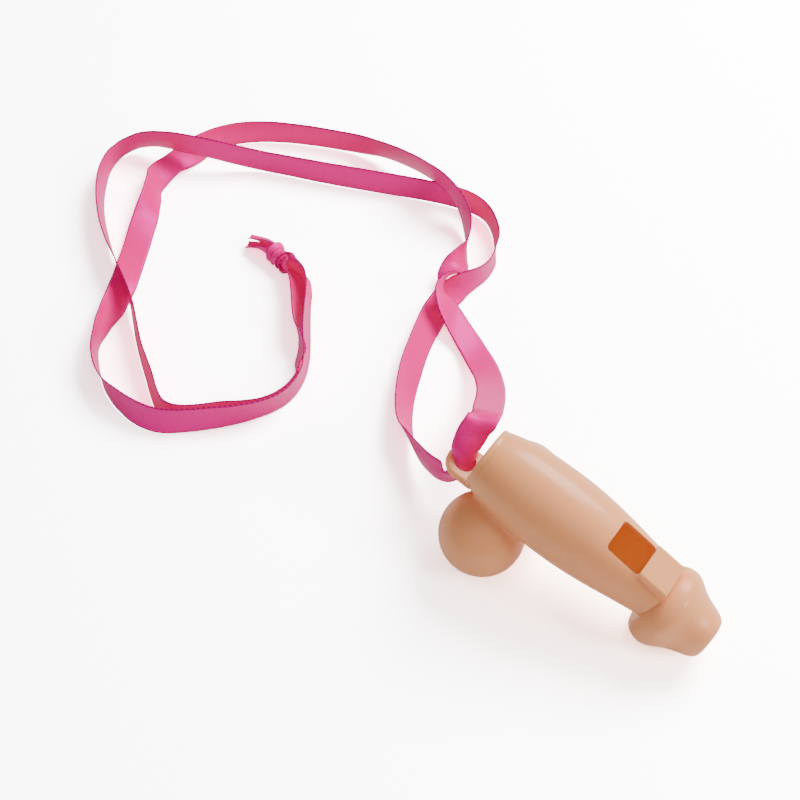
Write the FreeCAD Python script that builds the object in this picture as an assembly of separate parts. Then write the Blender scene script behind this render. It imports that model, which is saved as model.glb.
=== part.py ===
import FreeCAD, Part
import math
import os

# A novelty party whistle on a ribbon lanyard. Millimetres, +Z up, the whistle's length along +X
# from the tail cap to the mouthpiece. The whistle stands on its two bulbs and its mouthpiece.

V = FreeCAD.Vector

# barrel
BARREL_LENGTH = 64.0
OUTER_PROFILE = [(0.0, 10.6), (4.0, 11.7), (10.0, 12.9), (18.0, 13.6), (27.0, 13.8),
                 (40.0, 13.0), (52.0, 11.3), (60.0, 10.1), (64.0, 9.6)]
NECK_END = (67.0, 7.2)
WALL = 1.8
CHAMBER_END = 56.2
SEAM_TURN = 62.0
BLOCK_END = 64.0
BLOCK_RADIUS = 7.4

# bulbs, resonance chambers moulded on the underside
BULB_RADIUS = 13.7
CREASE_ROUND = 1.2
BULB_X, BULB_Y, BULB_Z = 11.3, 11.6, -19.4
HOLLOW_RADIUS = 11.5
HOLLOW_FORWARD, HOLLOW_INWARD, HOLLOW_RAISED = 1.0, 1.0, 1.2

# sound window and the roof pad over the windway
WINDOW_START, WINDOW_END, WINDOW_HALF = 43.0, 55.4, 5.8
PAD_START, PAD_END, PAD_HALF = 55.4, 65.6, 6.2
PAD_TOP_START, PAD_TOP_END = 11.6, 10.1
SLOT_HALF, SLOT_HEIGHT = 4.4, 1.5
SLOT_TOP, SLOT_FALL = 7.9, 0.337

# mouthpiece tip: x, height of the ring's centre, radius, lean of the ring in degrees
TIP_RINGS = [(63.2, -4.7, 9.8, 5), (63.8, -4.7, 11.6, 5), (65.8, -4.7, 13.1, 5), (69.0, -4.7, 13.8, 5),
             (72.2, -4.7, 12.8, 4), (75.8, -4.8, 10.6, 3), (81.4, -4.9, 8.5, 1), (84.0, -5.0, 7.1, 0),
             (84.8, -5.0, 5.6, 0)]

# tail cap and its lug
CAP_THICK, CAP_RADIUS, CAP_ROUND = 2.0, 10.4, 0.9
SPIGOT_LENGTH = 2.5
LUG_X, LUG_Z, LUG_RADIUS, LUG_THICK, LUG_HOLE = -6.3, -11.6, 6.0, 3.0, 3.6
LUG_ROOT_TOP = -7.0

# ribbon: 10 mm wide, 0.3 mm thick, run as a round cord of the same section
CORD_RADIUS = 1.0
KNOT_START = V(-152.92, 47.76, 4.0)
KNOT_DIR = V(-0.9749, 0.2228, 0).normalize()
KNOT_LENGTH, KNOT_END_RADIUS, KNOT_RADIUS = 8.5, 2.5, 3.8

TAIL_X = -33.55


def spline_profile(points, inset=0.0):
    """Solid of revolution about X whose outline passes through (x, radius) points."""
    outline = Part.BSplineCurve()
    outline.interpolate([V(x, 0, r - inset) for x, r in points])
    first, last = points[0], points[-1]
    edges = [outline.toShape(),
             Part.makeLine(V(last[0], 0, last[1] - inset), V(last[0], 0, 0)),
             Part.makeLine(V(last[0], 0, 0), V(first[0], 0, 0)),
             Part.makeLine(V(first[0], 0, 0), V(first[0], 0, first[1] - inset))]
    solid = Part.Face(Part.Wire(edges)).revolve(V(0, 0, 0), V(1, 0, 0), 360)
    solid.rotate(V(0, 0, 0), V(1, 0, 0), SEAM_TURN)
    return solid


def x_cylinder(x0, x1, radius, y=0.0, z=0.0):
    return Part.makeCylinder(radius, x1 - x0, V(x0, y, z), V(1, 0, 0))


def rest_pitch(tip):
    """Nose-down pitch at which both bulbs and the mouthpiece rim touch the table."""
    low, high = math.radians(8), math.radians(20)
    for _ in range(16):
        mid = (low + high) / 2
        bulb = -BULB_X * math.sin(mid) + BULB_Z * math.cos(mid) - BULB_RADIUS
        if placed(tip, mid, 0).optimalBoundingBox(False).ZMin > bulb:
            low = mid
        else:
            high = mid
    return (low + high) / 2


def slot_solid():
    """The windway: a thin slot falling from the sound window to the mouthpiece's end face."""
    x0, x1 = CHAMBER_END - 0.9, 90.0
    top = [V(x, -SLOT_HALF, SLOT_TOP - SLOT_FALL * (x - CHAMBER_END)) for x in (x0, x1)]
    down = V(0, 0, -SLOT_HEIGHT)
    wire = Part.makePolygon([top[0], top[1], top[1] + down, top[0] + down, top[0]])
    return Part.Face(wire).extrude(V(0, 2 * SLOT_HALF, 0))


def bulbs(radius, forward=0.0, inward=0.0, raised=0.0):
    made = []
    for side in (-1, 1):
        centre = V(BULB_X + forward, side * (BULB_Y - inward), BULB_Z + raised)
        ball = Part.makeSphere(radius, centre, V(1, 0, 0))
        ball.rotate(centre, V(1, 0, 0), 180)
        made.append(ball)
    return made[0].fuse(made[1])


def neck():
    """Short taper that closes the barrel and plugs into the mouthpiece tip."""
    return Part.makeCone(OUTER_PROFILE[-1][1], NECK_END[1], NECK_END[0] - BARREL_LENGTH,
                         V(BARREL_LENGTH, 0, 0), V(1, 0, 0))


def pad():
    """Flat-topped pad over the windway, as wide as the sound window."""
    wire = Part.makePolygon([V(PAD_START, -PAD_HALF, 4.0), V(PAD_START, -PAD_HALF, PAD_TOP_START),
                             V(PAD_END, -PAD_HALF, PAD_TOP_END), V(PAD_END, -PAD_HALF, 4.0),
                             V(PAD_START, -PAD_HALF, 4.0)])
    block = Part.Face(wire).extrude(V(0, 2 * PAD_HALF, 0))
    rims = [e for e in block.Edges if e.CenterOfMass.z > 9.5 and abs(e.CenterOfMass.x - PAD_START) > 1]
    return block.makeFillet(1.0, rims)


def body_shell():
    """Hollow barrel, both bulbs and the windway roof, moulded together."""
    outer = spline_profile(OUTER_PROFILE).fuse(neck()).fuse(pad()).fuse(bulbs(BULB_RADIUS))
    creases = [e for e in outer.Edges if e.Length > 30 and e.BoundBox.ZMin > BULB_Z and e.BoundBox.ZMax < 0
               and abs(e.CenterOfMass.y) > 3]
    outer = outer.makeFillet(CREASE_ROUND, creases)
    chamber = [p for p in OUTER_PROFILE if p[0] < CHAMBER_END] + [(CHAMBER_END, 10.6)]
    hollow = spline_profile(chamber, WALL)
    window = Part.makeBox(WINDOW_END - WINDOW_START, 2 * WINDOW_HALF, 16, V(WINDOW_START, -WINDOW_HALF, 4))
    corners = [e for e in window.Edges if abs(e.tangentAt(e.FirstParameter).z) > 0.9]
    window = window.makeFillet(1.4, corners)
    bore = x_cylinder(CHAMBER_END - 1, BLOCK_END, BLOCK_RADIUS)
    inside = hollow.fuse(bulbs(HOLLOW_RADIUS, HOLLOW_FORWARD, HOLLOW_INWARD, HOLLOW_RAISED)).fuse(bore)
    return outer.cut(inside).cut(window).cut(slot_solid())


def windway_block():
    """Plug that closes the chamber and forms the windway's floor."""
    return x_cylinder(CHAMBER_END, BLOCK_END, BLOCK_RADIUS).cut(slot_solid())


def mouthpiece_tip():
    """Helmet-shaped mouthpiece with a flared rim, a conical front and a flat end face."""
    wires = []
    for x, z, radius, lean in TIP_RINGS:
        a = math.radians(lean)
        circle = Part.Circle(V(x, 0, z), V(math.cos(a), 0, -math.sin(a)), radius)
        wires.append(Part.Wire([circle.toShape()]))
    helmet = Part.makeLoft(wires, True, False)
    return helmet.cut([spline_profile(OUTER_PROFILE), neck(), pad(), slot_solid()])


def tail_cap():
    """Disc that closes the tail, with the lug for the lanyard."""
    disc = x_cylinder(-CAP_THICK, 0, CAP_RADIUS)
    rim = [e for e in disc.Edges if abs(e.CenterOfMass.x + CAP_THICK) < 0.01 and e.Length > 20]
    disc = disc.makeFillet(CAP_ROUND, rim)
    spigot = x_cylinder(0, SPIGOT_LENGTH, OUTER_PROFILE[0][1] - WALL)
    lug = Part.makeCylinder(LUG_RADIUS, LUG_THICK, V(LUG_X, 0, LUG_Z - LUG_THICK / 2))
    web = Part.makeBox(-0.5 - LUG_X, 2 * LUG_RADIUS, LUG_THICK, V(LUG_X, -LUG_RADIUS, LUG_Z - LUG_THICK / 2))
    lug = lug.fuse(web).removeSplitter()
    edges = [e for e in lug.Edges if abs(e.tangentAt(e.FirstParameter).z) < 0.1 and e.CenterOfMass.x < -3
             and e.Length > 8]
    lug = lug.makeFillet(0.9, edges)
    root = Part.makeBox(CAP_THICK, 2 * LUG_RADIUS - 1, LUG_ROOT_TOP - LUG_Z + LUG_THICK / 2,
                        V(-CAP_THICK, -LUG_RADIUS + 0.5, LUG_Z - LUG_THICK / 2))
    hole = Part.makeCylinder(LUG_HOLE, 2 * LUG_THICK, V(LUG_X, 0, LUG_Z - LUG_THICK))
    return disc.fuse([spigot, lug, root]).cut(hole).cut(bulbs(BULB_RADIUS + 0.1))


def placed(shape, pitch, lift):
    """From the whistle's own frame to its stance on the table."""
    made = shape.copy()
    made.rotate(V(0, 0, 0), V(0, 1, 0), math.degrees(pitch))
    made.translate(V(TAIL_X, 0, lift))
    return made


def stance_point(x, z, pitch, lift):
    s, c = math.sin(pitch), math.cos(pitch)
    return V(TAIL_X + x * c + z * s, 0, lift - x * s + z * c)


def cord(name, points, radius=CORD_RADIUS):
    """Round tube along straight runs joined by tangent arcs."""
    pts = [V(*p) for p in points]
    edges, here, length, radii = [], pts[0], 0.0, []
    for a, b, c in zip(pts, pts[1:], pts[2:]):
        back, ahead = (a - b).normalize(), (c - b).normalize()
        turn = math.pi - back.getAngle(ahead)
        reach = 0.45 * min((a - b).Length, (c - b).Length)
        start, stop = b + back * reach, b + ahead * reach
        bend = reach / math.tan(turn / 2)
        centre_way = (back + ahead).normalize()
        middle = b + centre_way * (math.hypot(reach, bend) - bend)
        edges += [Part.LineSegment(here, start).toShape(), Part.Arc(start, middle, stop).toShape()]
        radii.append(bend)
        here = stop
    edges.append(Part.LineSegment(here, pts[-1]).toShape())
    path = Part.Wire(edges)
    ring = Part.Wire([Part.Circle(pts[0], pts[1] - pts[0], radius).toShape()])
    tube = path.makePipeShell([ring], True, False)
    tube = tube if tube.ShapeType == "Solid" else Part.Solid(Part.Shell(tube.Faces))
    section = math.pi * radius ** 2
    print(name, "length %.1f" % path.Length, "tightest radius %.1f" % min(radii),
          "volume ratio %.3f" % (tube.Volume / (section * path.Length)))
    return tube


def right_route(hole):
    """From the lug hole, up and over, round the far side of the loop and back to the knot."""
    x, z = hole.x, hole.z
    return [(x, 0, z), (x, 0, z + 4.2), (x, 0.9, z + 8.6), (x, 4.2, z + 12.2), (x, 9.2, z + 13.2),
             (x - 0.9, 13.8, z + 11.6), (-45.5, 16.9, 33), (-51.5, 29.3, 22), (-59.5, 41.5, 11),
             (-67.7, 50.2, 4), (-77, 57, 1.2), (-84.7, 60.6, 2.6), (-91, 63, 6), (-96.3, 65.8, 8.5),
             (-99.5, 71.7, 8), (-100.5, 78, 7), (-100.9, 85.2, 6), (-102.5, 91.6, 5.6), (-105.9, 97.4, 5.5),
             (-109.8, 102.3, 7), (-114.1, 105.8, 9.5), (-118.6, 106.8, 13), (-124.5, 107.9, 15),
             (-133, 109.6, 14.5), (-143.6, 112.6, 11.5), (-157.4, 114.4, 8), (-169.1, 113, 5.8),
             (-180.1, 109.1, 5.2), (-191.4, 104.1, 5.2), (-201.4, 98.8, 5.2), (-210.6, 91.8, 5.2),
             (-216.3, 84.3, 5.1), (-218.9, 77.5, 4.9), (-221.6, 70.7, 3.2), (-224.2, 63.3, 2.6),
             (-224.3, 56.4, 2.6), (-220.4, 49.8, 4.7), (-216.3, 43.4, 4.5), (-212.1, 33.9, 2.7),
             (-205.7, 21.9, 1.9), (-199.7, 10.6, 2.1), (-192.9, -1.4, 3.9), (-188.7, -13.2, 5),
             (-185.1, -20.9, 5.2), (-180.7, -26.1, 5.2), (-175, -30.7, 5.2), (-168.6, -34.2, 5.2),
             (-161.2, -35.7, 5.1), (-152.3, -36.4, 5), (-144, -34.6, 4.8), (-136.5, -29.3, 4.9),
             (-130.1, -23.2, 4.9), (-124, -17.3, 5), (-119.1, -11, 5), (-115.4, -4.1, 5), (-114.6, 2.5, 5),
             (-115.8, 9.1, 5), (-119.1, 15.5, 5), (-123.2, 20.8, 5.1), (-127.5, 26.2, 5.1),
             (-131.9, 32.1, 5.1), (-136, 37.8, 5.2), (-140.4, 43.6, 5.1), (-145.2, 47.4, 5.1),
             (-152.66, 48.93, 4)]


def left_route(hole):
    """From the lug hole, down to the table, round the near side of the loop and back to the knot."""
    x, z = hole.x, hole.z
    return [(x, 0, z), (x, 0, z - 4), (x - 1.2, -0.3, z - 7.2), (x - 3.5, -0.6, z - 9.6),
             (x - 6.7, -0.6, z - 11), (-54.6, -0.1, 13.5), (-61.9, 3.4, 10), (-68.3, 7, 7.6),
             (-73.9, 11.6, 5.8), (-78.3, 16.9, 4.8), (-82, 22.7, 4.1), (-85.3, 29.1, 3.8),
             (-88.3, 35.9, 3.5), (-90.8, 42.8, 3.7), (-93.1, 50.2, 3.6), (-95.3, 58, 2.8),
             (-97.2, 66.4, 1.9), (-96.4, 72.3, 2.9), (-94.2, 77.3, 4.9), (-91.6, 82.7, 5.2),
             (-90.5, 88.3, 5.2), (-92.1, 95.1, 5.2), (-95.8, 101.9, 5.2), (-100.6, 107.2, 5.2),
             (-105.8, 111.1, 5.2), (-111.7, 112.7, 5.2), (-118.3, 112.3, 5.2), (-126.5, 110, 5.2),
             (-136.7, 106.3, 5.2), (-148, 101.6, 5.2), (-159.9, 96.7, 5.2), (-172.6, 91.6, 5.2),
             (-185.3, 86.9, 5.2), (-195.5, 82.8, 5.6), (-202.7, 78.3, 7.8), (-209.2, 74.3, 9.9),
             (-215.8, 70.8, 11.2), (-223, 67.9, 11.4), (-229.9, 66.1, 10.4), (-236.4, 64.2, 8.6),
             (-241.5, 60.6, 6.6), (-244, 54.9, 5.4), (-242.7, 47.4, 5.2), (-238.4, 39.6, 5.2),
             (-233.1, 32.8, 5.2), (-227, 26.7, 5.2), (-219.8, 20.7, 5.4), (-211.4, 14.8, 6.2),
             (-202.3, 9.3, 6.8), (-194.4, 4.8, 6.8), (-187.8, 0.4, 6.5), (-181.7, -4.4, 5.9),
             (-175.7, -9.6, 5.2), (-168.7, -15.2, 5.2), (-162.4, -19.4, 5.1), (-156.3, -23.6, 5.1),
             (-150.8, -27.6, 5.9), (-145.6, -30.2, 6.7), (-140.3, -29.6, 6.8), (-134.5, -25.4, 6.8),
             (-129.1, -19.7, 6.9), (-124, -14.2, 7), (-119.9, -8.9, 7), (-117.5, -2.7, 7), (-117.2, 3, 6.8),
             (-118.7, 9.2, 6.4), (-121.7, 15.5, 5.5), (-125.6, 20.3, 5.1), (-130.2, 25, 5),
             (-134.8, 30.3, 4.9), (-139.3, 36, 4.6), (-143.7, 41.7, 4.1), (-147.9, 45.4, 4),
             (-153.19, 46.59, 4)]


def knot_solid():
    """Overhand knot of both strands, with flat ends where strands and tails meet it."""
    up = V(0, 0, 1)
    half = KNOT_LENGTH / 2

    def at(along, out):
        return KNOT_START + KNOT_DIR * along + up * out
    bulge = Part.BSplineCurve()
    bulge.interpolate([at(0, KNOT_END_RADIUS), at(1.4, KNOT_RADIUS - 0.3), at(half - 1.2, KNOT_RADIUS),
                       at(half, KNOT_RADIUS - 0.5), at(half + 1.2, KNOT_RADIUS),
                       at(KNOT_LENGTH - 1.4, KNOT_RADIUS - 0.3), at(KNOT_LENGTH, KNOT_END_RADIUS)])
    wire = Part.Wire([bulge.toShape(), Part.makeLine(at(KNOT_LENGTH, KNOT_END_RADIUS), at(KNOT_LENGTH, 0)),
                      Part.makeLine(at(KNOT_LENGTH, 0), at(0, 0)), Part.makeLine(at(0, 0), at(0, KNOT_END_RADIUS))])
    return Part.Face(wire).revolve(KNOT_START, KNOT_DIR, 360)


def tail_routes():
    return {"ribbon_tail_long": [(-160.93, 50.82, 4), (-165.6, 51.9, 4), (-169.6, 51.7, 3.6), (-173.6, 50.5, 3.4)],
            "ribbon_tail_short": [(-161.47, 48.48, 4), (-165.7, 49.4, 3.6), (-169.3, 48.8, 2.8), (-172.5, 47.7, 2.2)]}


def main():
    os.makedirs("parts", exist_ok=True)
    shell = body_shell()
    tip = mouthpiece_tip()
    pitch = rest_pitch(tip)
    lift = BULB_X * math.sin(pitch) - BULB_Z * math.cos(pitch) + BULB_RADIUS
    hard = {"body_shell": shell, "windway_block": windway_block(), "mouthpiece_tip": tip, "tail_cap": tail_cap()}
    made = {name: placed(shape, pitch, lift) for name, shape in hard.items()}
    hole = stance_point(LUG_X, LUG_Z, pitch, lift)
    made["ribbon_right"] = cord("ribbon_right", right_route(hole))
    made["ribbon_left"] = cord("ribbon_left", left_route(hole))
    made["ribbon_knot"] = knot_solid()
    for name, route in tail_routes().items():
        made[name] = cord(name, route)
    print("pitch %.3f lift %.3f hole %.2f %.2f" % (math.degrees(pitch), lift, hole.x, hole.z))
    end = stance_point(TIP_RINGS[-1][0], TIP_RINGS[-1][1], pitch, lift)
    print("end face", end)
    box = FreeCAD.BoundBox()
    for name, shape in made.items():
        bb = shape.optimalBoundingBox(False)
        if not name.startswith("ribbon"):
            box.add(bb)
        print(name, shape.ShapeType, shape.isValid(), "solids", len(shape.Solids), "vol %.0f" % shape.Volume,
              "z %.2f..%.2f" % (bb.ZMin, bb.ZMax), "x %.2f..%.2f" % (bb.XMin, bb.XMax))
        shape.exportStep("parts/%s.step" % name)
    print("hard box", box)


main()
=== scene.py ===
import logging
import math
from dataclasses import dataclass, field
from enum import Enum

import bpy
import numpy as np
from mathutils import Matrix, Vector


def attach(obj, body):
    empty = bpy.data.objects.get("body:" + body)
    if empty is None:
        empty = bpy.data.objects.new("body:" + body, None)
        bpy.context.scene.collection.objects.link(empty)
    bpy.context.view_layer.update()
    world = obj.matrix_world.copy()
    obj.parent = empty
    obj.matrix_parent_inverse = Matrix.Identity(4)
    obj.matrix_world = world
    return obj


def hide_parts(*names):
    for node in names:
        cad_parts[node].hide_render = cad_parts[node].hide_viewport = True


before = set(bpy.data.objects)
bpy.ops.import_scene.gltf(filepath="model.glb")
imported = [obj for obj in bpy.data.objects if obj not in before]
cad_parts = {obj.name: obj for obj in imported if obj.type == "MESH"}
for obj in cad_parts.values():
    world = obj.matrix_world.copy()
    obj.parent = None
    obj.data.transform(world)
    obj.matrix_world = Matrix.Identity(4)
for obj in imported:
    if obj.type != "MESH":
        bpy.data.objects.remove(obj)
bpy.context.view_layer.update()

LOG = logging.getLogger("whistle")

# Metres, unless a name says otherwise; routes and the barrel's outline are in millimetres.
RIBBON_WIDTH = 0.010
RIBBON_THICK = 0.00032
EDGE_THICKER = 1.5
FLAT_CURL = 0.02
BAND_COLUMNS = 11
SELVEDGE_FROM = 0.9
TABLE_CLEARANCE = 0.0004
HOLE = (-0.04261, 0.0, 0.02574)
TAIL_AXIS = (-0.0335, 0.0, 0.035345)
PITCH = math.radians(14.818)
BARREL_LENGTH = 64.0
SKIN_RANGE = 20.0
BARREL_SKIN = [(0.0, 10.6), (4.0, 11.7), (10.0, 12.9), (18.0, 13.6), (27.0, 13.8), (40.0, 13.0),
               (52.0, 11.3), (60.0, 10.1), (BARREL_LENGTH, 9.6)]
CHAMBER_SLOPE, CHAMBER_SHIFT = 2600.0, -3.2
UP = np.array((0, 0, 1))


class Slot(str, Enum):
    """Material slots of the record."""

    PLASTIC = "peach_plastic"
    RIBBON = "pink_ribbon"


class RibbonPart(str, Enum):
    """CAD nodes that the ribbon pieces stand for."""

    RIGHT = "ribbon_right"
    LEFT = "ribbon_left"
    KNOT = "ribbon_knot"
    TAIL_LONG = "ribbon_tail_long"
    TAIL_SHORT = "ribbon_tail_short"


class Tone(Enum):
    """Which of the plastic's colours a piece shows: the outer one, the chamber's painted light, or both."""

    OUTER = "outer"
    PAINTED_LIGHT_INSIDE = "deep"
    SHELL = "shell"


@dataclass(frozen=True)
class PlasticFinish:
    """Glossy, slightly translucent moulded plastic."""

    base: tuple = (0.95, 0.36, 0.145)
    # The colour inside and the two emission values below are painted light: a deeper orange and an emission
    # in the chamber that stand in for light shining through the translucent wall.
    inside: tuple = (0.80, 0.34, 0.06)
    painted_light_colour: tuple = (1.0, 0.42, 0.06)
    painted_light_strength: float = 0.1
    shine: tuple = (1.0, 0.8, 0.6)
    roughness: float = 0.42
    ior: float = 1.45
    coat: float = 0.2
    coat_roughness: float = 0.07
    subsurface: float = 0.3
    scatter: tuple = (1.0, 0.42, 0.2)
    scatter_m: float = 0.004
    grain_scale: float = 90.0
    grain_detail: float = 2.0
    grain_strength: float = 0.05
    grain_m: float = 0.0006


@dataclass(frozen=True)
class SatinFinish:
    """Woven satin ribbon with a dark, dotted selvedge."""

    base: tuple = (0.86, 0.0, 0.215)
    sheen: tuple = (0.85, 0.06, 0.75)
    edge: tuple = (0.22, 0.0, 0.06)
    # The two emission values below are painted light: a faint pink emission that brightens the ribbon.
    painted_light_colour: tuple = (1.0, 0.0, 0.3)
    painted_light_strength: float = 0.08
    roughness: float = 0.3
    specular: float = 0.75
    anisotropy: float = 0.6
    rib_m: float = 0.0006
    rib_strength: float = 0.35
    rib_depth_m: float = 0.00008
    edge_from: float = 0.46
    edge_slope: float = 40.0
    dot_pitch: float = 0.33
    dot_swing: float = 0.3
    dot_mean: float = 0.75


@dataclass(frozen=True)
class Stop:
    """One point of a ribbon's route.

    Args:
        at: the point in millimetres, row frame.
        roll: turn of the ribbon's width about its run, degrees; 0 lies flat, 90 stands on edge, and it
            counts on past 360 where the ribbon keeps turning.
        curl: half-angle of the curve across the width, radians.
        width: the width's direction where the run is upright, or None to use roll.
    """

    at: tuple
    roll: float = 90.0
    curl: float = 0.12
    width: tuple = None


def smoothstep(t: np.ndarray) -> np.ndarray:
    """Smooth ramp, 3t^2 - 2t^3 between 0 and 1.

    Args:
        t: any numbers, held to 0..1 first.

    Returns:
        the ramp's values.
    """
    t = np.clip(t, 0, 1)
    return t * t * (3 - 2 * t)


def unit(v: np.ndarray) -> np.ndarray:
    """Vectors at length 1.

    Args:
        v: one vector, or rows of them.

    Returns:
        the same shape, each vector divided by its length.
    """
    return v / np.maximum(np.linalg.norm(v, axis=-1, keepdims=True), 1e-12)


def run_length(line: np.ndarray) -> np.ndarray:
    """Distance from the first point to each point of a line.

    Args:
        line: (n, 3) points.

    Returns:
        n distances, the first 0.
    """
    return np.concatenate([[0], np.cumsum(np.linalg.norm(np.diff(line, axis=0), axis=1))])


# ---------------------------------------------------------------- materials

def new_material(name: str) -> tuple:
    """A node material with only its default shader.

    Args:
        name: the material's name.

    Returns:
        (material, node tree, principled node)
    """
    mat = bpy.data.materials.new(name)
    mat.use_nodes = True
    tree = mat.node_tree
    bsdf = next(n for n in tree.nodes if n.type == "BSDF_PRINCIPLED")
    return mat, tree, bsdf


def set_sockets(node: bpy.types.Node, values: dict) -> None:
    """Sets a node's own socket values.

    Args:
        node: the node.
        values: socket name to value.
    """
    for socket, value in values.items():
        node.inputs[socket].default_value = value


def math_node(tree: bpy.types.NodeTree, op: str, *values: float | bpy.types.NodeSocket,
              clamp: bool = False) -> bpy.types.NodeSocket:
    """A math node.

    Args:
        tree: the tree that holds it.
        op: its operation.
        values: its inputs in order, each a number or a socket.
        clamp: whether the result is held to 0..1.

    Returns:
        its output.
    """
    node = tree.nodes.new("ShaderNodeMath")
    node.operation = op
    node.use_clamp = clamp
    for socket, value in zip(node.inputs, values):
        if isinstance(value, (int, float)):
            socket.default_value = value
        else:
            tree.links.new(value, socket)
    return node.outputs[0]


def vector_node(tree: bpy.types.NodeTree, op: str, first: bpy.types.NodeSocket, second: tuple = None,
                output: str = "Vector") -> bpy.types.NodeSocket:
    """A vector math node.

    Args:
        tree: the tree that holds it.
        op: its operation.
        first: the socket that feeds it.
        second: its other, constant vector.
        output: which output is wanted.

    Returns:
        that output.
    """
    node = tree.nodes.new("ShaderNodeVectorMath")
    node.operation = op
    if second is not None:
        node.inputs[1].default_value = second
    tree.links.new(first, node.inputs[0])
    return node.outputs[output]


def mix_node(tree: bpy.types.NodeTree, low: tuple, high: tuple,
             factor: bpy.types.NodeSocket) -> bpy.types.NodeSocket:
    """A colour that goes from low to high with a factor.

    Args:
        tree: the tree that holds it.
        low: colour at factor 0.
        high: colour at factor 1.
        factor: the socket with the factor.

    Returns:
        the colour.
    """
    mix = tree.nodes.new("ShaderNodeMix")
    mix.data_type = "RGBA"
    # Inputs 6 and 7 and output 2 are the mix node's colour sockets.
    mix.inputs[6].default_value = (*low, 1)
    mix.inputs[7].default_value = (*high, 1)
    tree.links.new(factor, mix.inputs[0])
    return mix.outputs[2]


def skin_curve(tree: bpy.types.NodeTree) -> bpy.types.Node:
    """Curve node: the barrel's outer radius along its axis, both as shares of their ranges.

    Args:
        tree: the tree that holds it.

    Returns:
        the node.
    """
    node = tree.nodes.new("ShaderNodeFloatCurve")
    curve = node.mapping.curves[0]
    shares = [(x / BARREL_LENGTH, r / SKIN_RANGE) for x, r in BARREL_SKIN]
    curve.points[0].location = shares[0]
    curve.points[1].location = shares[-1]
    for share in shares[1:-1]:
        curve.points.new(*share)
    node.mapping.update()
    return node


def painted_light_mask_group() -> bpy.types.NodeTree:
    """Group: 1 inside the barrel's air chamber, 0 on its skin and on most of its wall's cut edge; it places
    the chamber's painted light.

    The mask is a steep ramp over a point's depth, which is the skin's radius at its place along the axis
    less its own distance from the axis.

    Returns:
        the group, Point in and Mask out.
    """
    tree = bpy.data.node_groups.new("chamber_painted_light_mask", "ShaderNodeTree")
    tree.interface.new_socket("Point", in_out="INPUT", socket_type="NodeSocketVector")
    tree.interface.new_socket("Mask", in_out="OUTPUT", socket_type="NodeSocketFloat")
    group_in, group_out = tree.nodes.new("NodeGroupInput"), tree.nodes.new("NodeGroupOutput")
    axis = (math.cos(PITCH), 0.0, -math.sin(PITCH))
    offset = vector_node(tree, "SUBTRACT", group_in.outputs[0], TAIL_AXIS)
    along = vector_node(tree, "DOT_PRODUCT", offset, axis, "Value")
    radius = vector_node(tree, "LENGTH", vector_node(tree, "CROSS_PRODUCT", offset, axis), output="Value")
    skin = skin_curve(tree)
    tree.links.new(math_node(tree, "MULTIPLY", along, 1000 / BARREL_LENGTH), skin.inputs["Value"])
    outer = math_node(tree, "MULTIPLY", skin.outputs[0], SKIN_RANGE / 1000)
    depth = math_node(tree, "SUBTRACT", outer, radius)
    mask = math_node(tree, "MULTIPLY_ADD", depth, CHAMBER_SLOPE, CHAMBER_SHIFT, clamp=True)
    tree.links.new(mask, group_out.inputs[0])
    return tree


def plastic_material(name: str, finish: PlasticFinish, tone: Tone) -> bpy.types.Material:
    """Moulded plastic.

    Args:
        name: the material's name.
        finish: its colours and gloss.
        tone: the outer colour, the chamber's painted light (a deeper orange and an emission for light
            shining through the wall), or both, each on its side of the wall.

    Returns:
        the material.
    """
    mat, tree, bsdf = new_material(name)
    base = finish.inside if tone is Tone.PAINTED_LIGHT_INSIDE else finish.base
    set_sockets(bsdf, {"Base Color": (*base, 1), "Roughness": finish.roughness, "IOR": finish.ior,
                       "Specular Tint": (*finish.shine, 1), "Subsurface Weight": finish.subsurface,
                       "Subsurface Radius": finish.scatter, "Subsurface Scale": finish.scatter_m,
                       "Coat Weight": finish.coat, "Coat Roughness": finish.coat_roughness})
    coords = tree.nodes.new("ShaderNodeTexCoord")
    grain = tree.nodes.new("ShaderNodeTexNoise")
    set_sockets(grain, {"Scale": finish.grain_scale, "Detail": finish.grain_detail})
    tree.links.new(coords.outputs["Object"], grain.inputs["Vector"])
    bump = tree.nodes.new("ShaderNodeBump")
    set_sockets(bump, {"Strength": finish.grain_strength, "Distance": finish.grain_m})
    tree.links.new(grain.outputs[0], bump.inputs["Height"])
    tree.links.new(bump.outputs[0], bsdf.inputs["Normal"])
    # The chamber's side of the wall gets painted light: a deeper orange and an emission that stand in for
    # light shining through the translucent plastic.
    if tone is Tone.SHELL:
        group = tree.nodes.new("ShaderNodeGroup")
        group.node_tree = painted_light_mask_group()
        tree.links.new(coords.outputs["Object"], group.inputs[0])
        colour = mix_node(tree, finish.base, finish.inside, group.outputs[0])
        tree.links.new(colour, bsdf.inputs["Base Color"])
        painted_light_colour = mix_node(tree, (0, 0, 0), finish.painted_light_colour, group.outputs[0])
        tree.links.new(painted_light_colour, bsdf.inputs["Emission Color"])
    # Chamber pieces show the painted light all over.
    elif tone is Tone.PAINTED_LIGHT_INSIDE:
        set_sockets(bsdf, {"Emission Color": (*finish.painted_light_colour, 1)})
    if tone is not Tone.OUTER:
        set_sockets(bsdf, {"Emission Strength": finish.painted_light_strength})
    return mat


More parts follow.
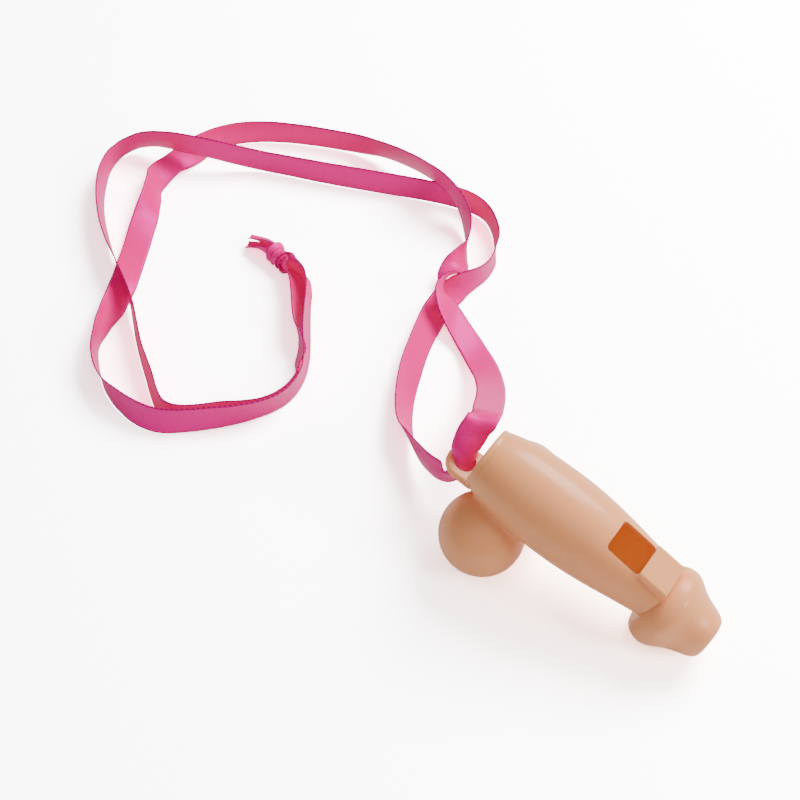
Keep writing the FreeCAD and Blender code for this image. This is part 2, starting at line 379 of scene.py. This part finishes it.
def weave_group(finish: SatinFinish) -> bpy.types.NodeTree:
    """Group: rib height and the dotted selvedge's mask, from the ribbon's own UV.

    The UV holds metres along and 0..1 across. The ribs are a sine along the ribbon. The selvedge is a steep
    ramp over the distance from the middle, and its dots are a slower sine.

    Args:
        finish: the rib's pitch, and where the selvedge starts.

    Returns:
        the group, UV in, Height and Edge out.
    """
    tree = bpy.data.node_groups.new("weave", "ShaderNodeTree")
    tree.interface.new_socket("UV", in_out="INPUT", socket_type="NodeSocketVector")
    tree.interface.new_socket("Height", in_out="OUTPUT", socket_type="NodeSocketFloat")
    tree.interface.new_socket("Edge", in_out="OUTPUT", socket_type="NodeSocketFloat")
    group_in, group_out = tree.nodes.new("NodeGroupInput"), tree.nodes.new("NodeGroupOutput")
    split = tree.nodes.new("ShaderNodeSeparateXYZ")
    tree.links.new(group_in.outputs[0], split.inputs[0])
    phase = math_node(tree, "MULTIPLY", split.outputs[0], 2 * math.pi / finish.rib_m)
    rib = math_node(tree, "SINE", phase)
    across = math_node(tree, "ABSOLUTE", math_node(tree, "SUBTRACT", split.outputs[1], 0.5))
    edge = math_node(tree, "MULTIPLY_ADD", across, finish.edge_slope,
                     -finish.edge_slope * finish.edge_from, clamp=True)
    slow = math_node(tree, "SINE", math_node(tree, "MULTIPLY", phase, finish.dot_pitch))
    dots = math_node(tree, "MULTIPLY_ADD", slow, finish.dot_swing, finish.dot_mean)
    tree.links.new(rib, group_out.inputs[0])
    tree.links.new(math_node(tree, "MULTIPLY", edge, dots), group_out.inputs[1])
    return tree


def satin_material(finish: SatinFinish) -> bpy.types.Material:
    """Satin ribbon: deep pink, a lilac gloss, ribs across, a dark woven edge, and an emission that is
    painted light.

    Args:
        finish: its colours, gloss and weave.

    Returns:
        the material.
    """
    mat, tree, bsdf = new_material("satin_ribbon")
    # The emission is painted light that brightens the ribbon.
    set_sockets(bsdf, {"Roughness": finish.roughness, "Anisotropic": finish.anisotropy,
                       "Specular Tint": (*finish.sheen, 1), "Specular IOR Level": finish.specular,
                       "Emission Color": (*finish.painted_light_colour, 1), "Emission Strength": finish.painted_light_strength})
    uv = tree.nodes.new("ShaderNodeUVMap")
    uv.uv_map = "ribbon"
    group = tree.nodes.new("ShaderNodeGroup")
    group.node_tree = weave_group(finish)
    tree.links.new(uv.outputs[0], group.inputs[0])
    colour = mix_node(tree, finish.base, finish.edge, group.outputs["Edge"])
    tree.links.new(colour, bsdf.inputs["Base Color"])
    bump = tree.nodes.new("ShaderNodeBump")
    set_sockets(bump, {"Strength": finish.rib_strength, "Distance": finish.rib_depth_m})
    tree.links.new(group.outputs["Height"], bump.inputs["Height"])
    tree.links.new(bump.outputs[0], bsdf.inputs["Normal"])
    tangent = tree.nodes.new("ShaderNodeTangent")
    tangent.direction_type = "UV_MAP"
    tangent.uv_map = "ribbon"
    tree.links.new(tangent.outputs[0], bsdf.inputs["Tangent"])
    return mat


# ---------------------------------------------------------------- meshes

def make_mesh(name: str, points: np.ndarray, faces: np.ndarray, uvs: np.ndarray,
              material: bpy.types.Material) -> bpy.types.Object:
    """Object from a point grid.

    Args:
        name: the object's name.
        points: (n, 3) metres, row frame.
        faces: (m, 4) corner indices.
        uvs: (m, 4, 2), per corner.
        material: its one material.

    Returns:
        the object, at the origin.
    """
    mesh = bpy.data.meshes.new(name)
    mesh.from_pydata(points.tolist(), [], faces.tolist())
    layer = mesh.uv_layers.new(name="ribbon")
    layer.data.foreach_set("uv", uvs.reshape(-1).astype(np.float32))
    mesh.polygons.foreach_set("use_smooth", np.ones(len(faces), dtype=bool))
    mesh.materials.append(material)
    mesh.update()
    obj = bpy.data.objects.new(name, mesh)
    bpy.context.scene.collection.objects.link(obj)
    return obj


def spline_line(name: str, route: list, count: int) -> np.ndarray:
    """Evenly spaced points along a NURBS line through a route's control points.

    Args:
        name: a name for the curve.
        route: points in millimetres.
        count: how many points to give back.

    Returns:
        (count, 3) metres.
    """
    curve = bpy.data.curves.new(name + "_line", "CURVE")
    curve.dimensions = "3D"
    curve.resolution_u = 10
    spline = curve.splines.new("NURBS")
    spline.points.add(len(route) - 1)
    for p, xyz in zip(spline.points, route):
        p.co = (*(c / 1000 for c in xyz), 1)
    spline.order_u = 3
    spline.use_endpoint_u = True
    obj = bpy.data.objects.new(name + "_line", curve)
    bpy.context.scene.collection.objects.link(obj)
    bpy.context.view_layer.update()
    mesh = bpy.data.meshes.new_from_object(obj)
    line = np.array([v.co[:] for v in mesh.vertices])
    bpy.data.objects.remove(obj)
    along = run_length(line)
    at = np.linspace(0, along[-1], count)
    return np.stack([np.interp(at, along, line[:, k]) for k in range(3)], 1)


def stop_places(line: np.ndarray, stops: list) -> np.ndarray:
    """Index of the line's nearest point to each stop, looked for from the stop before it onwards.

    Args:
        line: (n, 3) metres.
        stops: the route's Stops, in the line's order.

    Returns:
        one index per stop, from 0 to n - 1.
    """
    reach = 60
    places, last = [], 0
    for p in np.array([s.at for s in stops]) / 1000:
        last += int(np.argmin(np.linalg.norm(line[last:last + reach] - p, axis=1)))
        places.append(last)
    places[0], places[-1] = 0, len(line) - 1
    return np.array(places)


def stop_width(stop: Stop, tangent: np.ndarray) -> np.ndarray:
    """Direction of the ribbon's width at a stop: level across the run, then turned by the stop's roll.

    Args:
        stop: the stop.
        tangent: direction of the run there.

    Returns:
        the direction.
    """
    if stop.width is not None:
        return np.array(stop.width, float)
    level = unit(np.cross(UP, tangent))
    roll = math.radians(stop.roll)
    return math.cos(roll) * level + math.sin(roll) * np.cross(tangent, level)


def widths_along(line: np.ndarray, stops: list) -> tuple:
    """Width direction, curl and run direction for every point of the line.

    Both go smoothly from stop to stop. The width is then evened out and set square to the run.

    Args:
        line: (n, 3) metres, evenly spaced.
        stops: the route's Stops, in the line's order.

    Returns:
        (width directions, curls, run directions)
    """
    rounds_of_evening = 6
    tangent = unit(np.gradient(line, axis=0))
    places = stop_places(line, stops)
    dirs = np.array([stop_width(s, tangent[k]) for s, k in zip(stops, places)])
    curls = np.array([s.curl for s in stops])
    index = np.arange(len(line))
    leg = np.clip(np.searchsorted(places, index, side="right") - 1, 0, len(places) - 2)
    start, end = places[leg], places[leg + 1]
    t = smoothstep((index - start) / np.maximum(end - start, 1))[:, None]
    width = dirs[leg] * (1 - t) + dirs[leg + 1] * t
    for _ in range(rounds_of_evening):
        width[1:-1] = (width[:-2] + width[1:-1] * 2 + width[2:]) / 4
    width = unit(width - (width * tangent).sum(1, keepdims=True) * tangent)
    curl = curls[leg] * (1 - t[:, 0]) + curls[leg + 1] * t[:, 0]
    return width, curl, tangent


def band_rings(line: np.ndarray, width: np.ndarray, curl: np.ndarray, tangent: np.ndarray, half: np.ndarray,
               across: np.ndarray) -> np.ndarray:
    """Closed outlines of a band: an arc of the given curl, offset by half the thickness to both sides.

    Args:
        line: (n, 3) middle of the band, metres.
        width: direction of its width at each point.
        curl: half-angle of the arc across it at each point, radians.
        tangent: direction of its run at each point.
        half: half-width at each point, metres.
        across: places across the width, -1 to 1.

    Returns:
        (n, 2 * len(across), 3) points.
    """
    normal = np.cross(tangent, width)
    c = np.where(np.abs(curl) < FLAT_CURL, FLAT_CURL, curl)[:, None]
    x = half[:, None] * np.sin(across * c) / c
    y = half[:, None] * (1 - np.cos(across * c)) / c
    y = y - y.mean(1, keepdims=True)
    nx, ny = np.cos(across * c), np.sin(across * c)
    thick = RIBBON_THICK / 2 * np.where(np.abs(across) > SELVEDGE_FROM, EDGE_THICKER, 1.0)[None, :]
    rings = []
    for side in (1, -1):
        px = x - side * thick * ny
        py = y + side * thick * nx
        ring = line[:, None] + width[:, None] * px[..., None] + normal[:, None] * py[..., None]
        rings.append(ring if side > 0 else ring[:, ::-1])
    return np.concatenate(rings, axis=1)


def band(name: str, line: np.ndarray, width: np.ndarray, curl: np.ndarray, tangent: np.ndarray,
         half: np.ndarray, material: bpy.types.Material) -> bpy.types.Object:
    """Thin band along a line, closed at both ends: its outline at each point, joined ring to ring.

    Args:
        name: the object's name.
        line: (n, 3) middle of the band, metres.
        width: direction of its width at each point.
        curl: half-angle of the curve across it at each point, radians.
        tangent: direction of its run at each point.
        half: half-width at each point, metres.
        material: its material.

    Returns:
        the object.
    """
    across = np.linspace(-1, 1, BAND_COLUMNS)
    ring = band_rings(line, width, curl, tangent, half, across)
    n, m = ring.shape[:2]
    along = run_length(line)
    v = np.concatenate([(across + 1) / 2, (across[::-1] + 1) / 2])
    i, j = np.meshgrid(np.arange(n - 1), np.arange(m), indexing="ij")
    jn = (j + 1) % m
    faces = np.stack([i * m + j, i * m + jn, (i + 1) * m + jn, (i + 1) * m + j], -1).reshape(-1, 4)
    corners = ((i, j), (i, jn), (i + 1, jn), (i + 1, j))
    uvs = np.stack([np.stack([along[a], v[b]], -1) for a, b in corners], 2).reshape(-1, 4, 2)
    a = np.arange(m // 2 - 1)
    cap = np.stack([a, a + 1, m - 2 - a, m - 1 - a], -1)
    caps = np.concatenate([cap[:, ::-1], (n - 1) * m + cap])
    cap_along = np.repeat([along[0], along[-1]], len(a))[:, None]
    cap_uvs = np.stack([np.repeat(cap_along, 4, 1), np.full((2 * len(a), 4), 0.5)], -1)
    return make_mesh(name, ring.reshape(-1, 3), np.concatenate([faces, caps]),
                     np.concatenate([uvs, cap_uvs]), material)


# ---------------------------------------------------------------- routes

X0, _, Z0 = (c * 1000 for c in HOLE)
LUG_WIDTH = (-0.79, -0.61, 0.0)
LUG_BACK = tuple(-c for c in LUG_WIDTH)

RIGHT_STOPS = [
    Stop((X0, 0, Z0), curl=1.25, width=LUG_BACK), Stop((X0, 0, Z0 + 4.0), curl=1.2, width=LUG_BACK),
    Stop((X0 - 0.6, 1.7, Z0 + 7.2), curl=0.8, width=LUG_BACK),
    Stop((X0 - 0.8, 5.4, Z0 + 10.3), curl=0.35, width=LUG_BACK),
    Stop((X0 + 0.3, 8.8, Z0 + 13.9), curl=0.25, width=LUG_BACK),
    Stop((X0 - 0.9, 13.8, Z0 + 11.9), curl=0.2, width=LUG_BACK), Stop((-45.5, 16.9, 33), 184, -0.2),
    Stop((-51.5, 29.3, 22), 188, -0.15), Stop((-59.5, 41.5, 11), 186, -0.1),
    Stop((-67.7, 50.2, 4), 180, -0.1),
    Stop((-77, 57, 0.9), 188, -0.1), Stop((-84.7, 60.6, 2.6), 195, -0.1), Stop((-91, 63, 6), 205, -0.1),
    Stop((-96.3, 65.8, 8.5), 232, -0.1), Stop((-99.5, 71.7, 8), 286, 0.1), Stop((-100.5, 78, 7), 348, 0.12),
    Stop((-100.9, 85.2, 6), 415, 0.12), Stop((-102.5, 91.6, 5.6), 90, 0.12),
    Stop((-105.9, 97.4, 5.5), 98, 0.12), Stop((-109.8, 102.3, 7), 102, 0.12),
    Stop((-114.1, 105.8, 9.5), 93, 0.12), Stop((-118.6, 106.8, 13), 84, 0.12),
    Stop((-124.5, 107.9, 15), 83, 0.12), Stop((-133, 109.6, 14.5), 79, 0.12),
    Stop((-143.6, 112.6, 11.5), 77, 0.1), Stop((-157.4, 114.4, 8), 78, 0.1),
    Stop((-169.1, 113, 5.8), 88, 0.1), Stop((-180.1, 109.1, 5.2), 90, 0.1),
    Stop((-191.4, 104.1, 5.2), 92, 0.1), Stop((-201.4, 98.8, 5.2), 95, 0.1),
    Stop((-210.6, 91.8, 5.2), 98, 0.1), Stop((-216.3, 84.3, 5.1), 100, 0.1),
    Stop((-218.9, 77.5, 4.9), 112, 0.1), Stop((-221.6, 70.7, 3.2), 150, 0.1),
    Stop((-224.2, 63.3, 2.6), 174, 0.1), Stop((-224.3, 56.4, 2.6), 152, 0.15),
    Stop((-220.4, 49.8, 4.7), 116, 0.2), Stop((-216.3, 43.4, 4.2), 128, 0.1),
    Stop((-212.1, 33.9, 2.1), 158, 0.08), Stop((-205.7, 21.9, 1.1), 170, 0.08),
    Stop((-199.7, 10.6, 1.3), 168, 0.08), Stop((-192.9, -1.4, 3.6), 138, 0.1),
    Stop((-188.7, -13.2, 5), 107, 0.12), Stop((-185.1, -20.9, 5.2), 92, 0.12),
    Stop((-180.7, -26.1, 5.2), 97, 0.12), Stop((-175, -30.7, 5.2), 98, 0.12),
    Stop((-168.6, -34.2, 5.2), 92, 0.12), Stop((-161.2, -35.7, 5.1), 80, 0.12),
    Stop((-152.3, -36.4, 5), 70, 0.12), Stop((-144, -34.6, 5), 68, 0.1),
    Stop((-136.5, -29.3, 5.1), 75, 0.1), Stop((-130.1, -23.2, 5.1), 78, 0.1),
    Stop((-124, -17.3, 5.2), 87, 0.1), Stop((-119.1, -11, 5.2), 94, 0.1),
    Stop((-115.4, -4.1, 5.2), 96, 0.1), Stop((-114.6, 2.5, 5.2), 94, 0.12),
    Stop((-115.8, 9.1, 5.2), 91, 0.12), Stop((-119.1, 15.5, 5.2), 85, 0.12),
    Stop((-123.2, 20.8, 5.1), 78, 0.15), Stop((-127.5, 26.2, 5.1), 77, 0.15),
    Stop((-131.9, 32.1, 5.1), 80, 0.2), Stop((-136, 37.8, 5.2), 83, 0.3),
    Stop((-140.4, 43.6, 5.1), 80, 0.5), Stop((-145.2, 47.4, 5.1), 77, 0.8),
    Stop((-152.66, 48.93, 4), 80, 1.3)]

LEFT_STOPS = [
    Stop((X0, 0, Z0), curl=1.25, width=LUG_WIDTH), Stop((X0, 0, Z0 - 4), curl=1.2, width=LUG_WIDTH),
    Stop((X0 - 1.2, -0.3, Z0 - 7.2), curl=0.8, width=LUG_WIDTH),
    Stop((X0 - 3.5, -0.6, Z0 - 9.6), curl=0.4, width=(-0.5, -0.7, 0.5)),
    Stop((X0 - 6.7, -0.6, Z0 - 11), 92, 0.3), Stop((-54.6, -0.1, 13.5), 92, 0.15),
    Stop((-61.9, 3.4, 10), 88, 0.15), Stop((-68.3, 7, 7.6), 80, 0.15), Stop((-73.9, 11.6, 5.8), 60, 0.12),
    Stop((-78.3, 16.9, 4.8), 54, 0.1), Stop((-82, 22.7, 4.1), 51, 0.1), Stop((-85.3, 29.1, 3.8), 46, 0.1),
    Stop((-88.3, 35.9, 3.5), 41, 0.1), Stop((-90.8, 42.8, 3.7), 44, 0.1), Stop((-93.1, 50.2, 3.6), 42, 0.1),
    Stop((-95.3, 58, 2.8), 30, 0.1), Stop((-97.2, 66.4, 1.7), 16, 0.1), Stop((-96.4, 72.3, 2.9), 32, 0.12),
    Stop((-94.2, 77.3, 4.9), 70, 0.12), Stop((-91.6, 82.7, 5.2), 88, 0.12),
    Stop((-90.5, 88.3, 5.2), 91, 0.12), Stop((-92.1, 95.1, 5.2), 87, 0.12),
    Stop((-95.8, 101.9, 5.2), 98, 0.12), Stop((-100.6, 107.2, 5.2), 94, 0.12),
    Stop((-105.8, 111.1, 5.2), 91, 0.12), Stop((-111.7, 112.7, 5.2), 93, 0.12),
    Stop((-118.3, 112.3, 5.2), 97, 0.12), Stop((-126.5, 110, 5.2), 96, 0.1),
    Stop((-136.7, 106.3, 5.2), 97, 0.1), Stop((-148, 101.6, 5.2), 99, 0.1),
    Stop((-159.9, 96.7, 5.2), 99, 0.1), Stop((-172.6, 91.6, 5.2), 97, 0.1),
    Stop((-185.3, 86.9, 5.2), 94, 0.1), Stop((-195.5, 82.8, 5.6), 92, 0.1),
    Stop((-202.7, 78.3, 7.8), 91, 0.1), Stop((-209.2, 74.3, 9.9), 90, 0.1),
    Stop((-215.8, 70.8, 11.2), 89, 0.1), Stop((-223, 67.9, 11.4), 88, 0.1),
    Stop((-229.9, 66.1, 10.4), 80, 0.1), Stop((-236.4, 64.2, 8.6), 76, 0.1),
    Stop((-241.5, 60.6, 6.6), 74, 0.1), Stop((-244, 54.9, 5.4), 82, 0.1),
    Stop((-242.7, 47.4, 5.2), 92, 0.1), Stop((-238.4, 39.6, 5.2), 98, 0.1),
    Stop((-233.1, 32.8, 5.2), 98, 0.1), Stop((-227, 26.7, 5.2), 99, 0.1),
    Stop((-219.8, 20.7, 5.4), 101, 0.1), Stop((-211.4, 14.8, 6.2), 99, 0.1),
    Stop((-202.3, 9.3, 6.8), 95, 0.1), Stop((-194.4, 4.8, 6.8), 92, 0.1), Stop((-187.8, 0.4, 6.5), 87, 0.1),
    Stop((-181.7, -4.4, 5.9), 81, 0.1), Stop((-175.7, -9.6, 5.2), 80, 0.1),
    Stop((-168.7, -15.2, 5.2), 81, 0.1), Stop((-162.4, -19.4, 5.1), 79, 0.1),
    Stop((-156.3, -23.6, 5.1), 76, 0.1), Stop((-150.8, -27.6, 5.1), 78, 0.1),
    Stop((-145.6, -30.2, 5.1), 79, 0.1), Stop((-140.3, -29.6, 5), 74, 0.1),
    Stop((-134.5, -25.4, 5), 74, 0.1), Stop((-129.1, -19.7, 5.1), 76, 0.1),
    Stop((-124, -14.2, 5.2), 91, 0.1), Stop((-119.1, -9.3, 5.2), 94, 0.1),
    Stop((-116.3, -2.9, 5.2), 96, 0.1), Stop((-115.9, 3, 5.2), 97, 0.12),
    Stop((-117.4, 9.3, 5.2), 96, 0.12), Stop((-121.7, 15.5, 4.9), 117, 0.12),
    Stop((-125.6, 20.3, 5.1), 101, 0.12), Stop((-130.2, 25, 5), 72, 0.15),
    Stop((-134.8, 30.3, 4.9), 69, 0.15), Stop((-139.3, 36, 4.6), 62, 0.3),
    Stop((-143.7, 41.7, 4.1), 51, 0.5), Stop((-147.9, 45.4, 4), 39, 0.8), Stop((-153.19, 46.59, 4), 60, 1.3)]

LONG_TAIL = [(-160.93, 50.82, 4), (-165.6, 51.9, 4), (-169.6, 51.7, 3.6), (-173.6, 50.5, 3.4)]
SHORT_TAIL = [(-161.47, 48.48, 4), (-165.7, 49.4, 3.6), (-169.3, 48.8, 2.8), (-172.5, 47.7, 2.2)]


@dataclass
class Strand:
    """One run of the ribbon, from the lug hole to the knot."""

    part: RibbonPart
    stops: list
    material: bpy.types.Material
    count: int = 600
    obj: bpy.types.Object = None
    line: np.ndarray = None

    def build(self) -> bpy.types.Object:
        """Builds the band, lifted wherever its lower edge would pass the table.

        Returns:
            the band's object.
        """
        self.line = spline_line(self.part.value, [s.at for s in self.stops], self.count)
        width, curl, tangent = widths_along(self.line, self.stops)
        bend = np.maximum(np.abs(curl), FLAT_CURL)
        chord = RIBBON_WIDTH / 2 * np.sin(bend) / bend
        self.line[:, 2] = np.maximum(self.line[:, 2], chord * np.abs(width[:, 2]) + TABLE_CLEARANCE)
        half = np.full(self.count, RIBBON_WIDTH / 2)
        self.obj = band(self.part.value + "_band", self.line, width, curl, tangent, half, self.material)
        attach(self.obj, "root")
        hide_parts(self.part.value)
        LOG.info("%s: %.3f m of ribbon", self.obj.name, self.length())
        return self.obj

    def length(self) -> float:
        """Length of the run, metres."""
        return float(run_length(self.line)[-1])


@dataclass
class Knot:
    """The overhand knot: turns of ribbon round the gathered strands, and the two cut tails."""

    material: bpy.types.Material
    start: tuple = (-0.15292, 0.04776, 0.004)
    run: tuple = (-0.9749, 0.2228, 0.0)
    length: float = 0.0085
    turns: float = 1.75
    first_turn: float = 0.15
    wrap_radius: float = 0.0029
    wrap_swell: float = 0.0006
    wrap_half: float = 0.0030
    wrap_half_swing: float = 0.0006
    wrap_from: float = 0.28
    wrap_share: float = 0.44
    wrap_sway: float = 0.0008
    wrap_rise: float = 1.02
    wrap_curl: float = 0.55
    wrap_points: int = 150
    core_half: float = 0.0044
    core_from: float = 0.02
    core_share: float = 0.96
    core_turn: tuple = (0.5, 0.9)
    core_curl: float = 1.9
    core_points: int = 60
    tail_half: float = 0.0046
    tail_curl: float = 1.5
    tail_opening: float = 0.9
    tail_points: int = 60
    pieces: list = field(default_factory=list)

    def frame_vectors(self) -> tuple:
        """The knot's start, its direction and the level direction across it."""
        run = unit(np.array(self.run))
        return np.array(self.start), run, np.cross(run, UP)

    def wrap(self) -> bpy.types.Object:
        """The turns round the bundle: a helix whose radius swells in the middle.

        Returns:
            the wrap's object.
        """
        start, run, side = self.frame_vectors()
        t = np.linspace(0, 1, self.wrap_points)
        angle = 2 * math.pi * (self.first_turn + self.turns * t)
        radius = self.wrap_radius + self.wrap_swell * np.sin(math.pi * t)
        shift = self.length * (self.wrap_from + self.wrap_share * t) + self.wrap_sway * np.sin(angle)
        line = (start + run * shift[:, None] + side * (radius * np.cos(angle))[:, None]
                + UP * (radius * np.sin(angle) * self.wrap_rise)[:, None])
        tangent = unit(np.gradient(line, axis=0))
        out = unit(side * np.cos(angle)[:, None] + UP * np.sin(angle)[:, None])
        width = unit(np.cross(out, tangent))
        half = self.wrap_half - self.wrap_half_swing * np.cos(2 * math.pi * t)
        curl = np.full(len(t), self.wrap_curl)
        return band("ribbon_knot_wrap", line, width, curl, tangent, half, self.material)

    def core(self) -> bpy.types.Object:
        """The gathered bundle inside the turns: a straight band, tightly curled and slowly turning.

        Returns:
            the core's object.
        """
        start, run, side = self.frame_vectors()
        n = self.core_points
        t = np.linspace(0, 1, n)
        line = start + run * (self.length * (self.core_from + self.core_share * t))[:, None]
        turn = (self.core_turn[0] + self.core_turn[1] * t)[:, None]
        width = unit(side * np.cos(turn) + UP * np.sin(turn))
        return band("ribbon_knot_core", line, width, np.full(n, self.core_curl), np.repeat(run[None], n, 0),
                    np.full(n, self.core_half), self.material)

    def tail(self, part: RibbonPart, route: list, roll: tuple, taper: float) -> bpy.types.Object:
        """A cut end of the ribbon: curled at the knot, opening and narrowing towards its end.

        Args:
            part: the CAD node that it stands for.
            route: its control points, millimetres.
            roll: roll at the knot and at the end, degrees.
            taper: share of the width lost at the end.

        Returns:
            the tail's object.
        """
        line = spline_line(part.value, route, self.tail_points)
        tangent = unit(np.gradient(line, axis=0))
        level = unit(np.cross(UP, tangent))
        t = np.linspace(0, 1, len(line))
        turn = np.radians(roll[0] + (roll[1] - roll[0]) * t)[:, None]
        width = np.cos(turn) * level + np.sin(turn) * np.cross(tangent, level)
        half = self.tail_half * (1 - taper * smoothstep(t))
        obj = band(part.value + "_band", line, width, self.tail_curl - self.tail_opening * t, tangent, half,
                   self.material)
        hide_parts(part.value)
        return obj

    def build(self) -> list:
        """Builds the knot and tails.

        Returns:
            the pieces.
        """
        wrap, core = self.wrap(), self.core()
        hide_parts(RibbonPart.KNOT.value)
        self.pieces = [wrap, core, self.tail(RibbonPart.TAIL_LONG, LONG_TAIL, (60, 20), 0.6),
                       self.tail(RibbonPart.TAIL_SHORT, SHORT_TAIL, (50, 5), 0.55)]
        for obj in self.pieces:
            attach(obj, "root")
            LOG.info("%s: %d faces", obj.name, len(obj.data.polygons))
        return self.pieces


@dataclass
class Lanyard:
    """Both strands with their knot."""

    finish: SatinFinish = SatinFinish()

    def build(self) -> None:
        material = satin_material(self.finish)
        right = Strand(RibbonPart.RIGHT, RIGHT_STOPS, material)
        left = Strand(RibbonPart.LEFT, LEFT_STOPS, material)
        right.build()
        left.build()
        knot = Knot(material).build()
        for strand, extra in ((right, knot), (left, [])):
            round(strand.length(), 3)


@dataclass
class Whistle:
    """The rigid plastic pieces, shown as they are in the CAD model."""

    finish: PlasticFinish = PlasticFinish()

    def build(self) -> None:
        """Gives each plastic node its finish."""
        outer = plastic_material("peach_plastic", self.finish, Tone.OUTER)
        # The shell's chamber side and the windway block carry painted light: a deeper orange and an emission
        # for light shining through the translucent wall.
        shell = plastic_material("peach_plastic_shell_painted_light", self.finish, Tone.SHELL)
        deep = plastic_material("peach_plastic_painted_light", self.finish, Tone.PAINTED_LIGHT_INSIDE)
        finishes = {"body_shell": shell, "windway_block": deep, "mouthpiece_tip": outer, "tail_cap": outer}
        for name, material in finishes.items():
            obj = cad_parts[name]
            obj.data.materials.clear()
            obj.data.materials.append(material)
            LOG.info("%s: %s", name, material.name)


@dataclass(frozen=True)
class Lamp:
    """Square area light aimed at the object's middle.

    Args:
        name: the light's name.
        right: how far it stands to the right, metres.
        away: how far it stands behind.
        up: how far it stands above the table.
        size: side of the square.
        watts: its power.
    """

    name: str
    right: float
    away: float
    up: float
    size: float
    watts: float


@dataclass
class Studio:
    """White table, soft light from the upper right, and the camera."""

    camera_at: tuple = (0.08179, -0.20764, 0.38635)
    look: tuple = (-0.3463, 0.4819, -0.8049)
    lens_mm: float = 62.2
    sensor_mm: float = 36.0
    right: tuple = (0.8121, 0.5835, 0.0)
    away: tuple = (-0.5835, 0.8121, 0.0)
    middle: tuple = (-0.08, 0.02, 0)
    lamps: tuple = (Lamp("key", 0.42, 0.5, 0.7, 0.5, 15.5), Lamp("fill", -0.1, -0.5, 0.9, 0.9, 2.4),
                    Lamp("edge", 0.55, -0.25, 0.4, 0.2, 2.2))
    daylight: float = 0.3
    table_half: float = 3.0
    table_under: float = 0.0002
    table_white: tuple = (0.92, 0.92, 0.92)
    table_seen: tuple = (6.5, 6.3, 6.2)
    table_roughness: float = 0.9
    table_specular: float = 0.1

    def table(self) -> None:
        """White table top under the object, brighter to the camera than it is to the object."""
        mesh = bpy.data.meshes.new("table")
        corners = [(x * self.table_half, y * self.table_half, -self.table_under)
                   for x, y in ((-1, -1), (1, -1), (1, 1), (-1, 1))]
        mesh.from_pydata(corners, [], [(0, 1, 2, 3)])
        mat, tree, bsdf = new_material("table_white")
        set_sockets(bsdf, {"Roughness": self.table_roughness, "Specular IOR Level": self.table_specular})
        path = tree.nodes.new("ShaderNodeLightPath")
        colour = mix_node(tree, self.table_white, self.table_seen, path.outputs["Is Camera Ray"])
        tree.links.new(colour, bsdf.inputs["Base Color"])
        mesh.materials.append(mat)
        obj = bpy.data.objects.new("table", mesh)
        bpy.context.scene.collection.objects.link(obj)

    def light(self, lamp: Lamp) -> None:
        """Places one lamp.

        Args:
            lamp: its place, size and power.
        """
        data = bpy.data.lights.new(lamp.name, "AREA")
        data.size = lamp.size
        data.energy = lamp.watts
        obj = bpy.data.objects.new(lamp.name, data)
        aside = Vector(self.right) * lamp.right + Vector(self.away) * lamp.away
        obj.location = aside + Vector((0, 0, lamp.up))
        obj.rotation_euler = (Vector(self.middle) - obj.location).to_track_quat("-Z", "Y").to_euler()
        bpy.context.scene.collection.objects.link(obj)

    def world(self) -> None:
        """Even white light from all round."""
        world = bpy.data.worlds.new("studio")
        world.use_nodes = True
        background = next(n for n in world.node_tree.nodes if n.type == "BACKGROUND")
        set_sockets(background, {"Color": (1, 1, 1, 1), "Strength": self.daylight})
        bpy.context.scene.world = world

    def camera(self) -> None:
        """Camera above the whistle's near side."""
        data = bpy.data.cameras.new("camera")
        data.lens = self.lens_mm
        data.sensor_width = self.sensor_mm
        obj = bpy.data.objects.new("camera", data)
        obj.location = self.camera_at
        obj.rotation_euler = Vector(self.look).to_track_quat("-Z", "Y").to_euler()
        bpy.context.scene.collection.objects.link(obj)
        bpy.context.scene.camera = obj

    def build(self) -> None:
        """Places table, lights, world and camera."""
        self.table()
        for lamp in self.lamps:
            self.light(lamp)
        self.world()
        self.camera()


def main() -> None:
    """Builds every part of the scene."""
    logging.basicConfig(level=logging.INFO)
    Whistle().build()
    Lanyard().build()
    Studio().build()


if __name__ == "__main__":
    main()
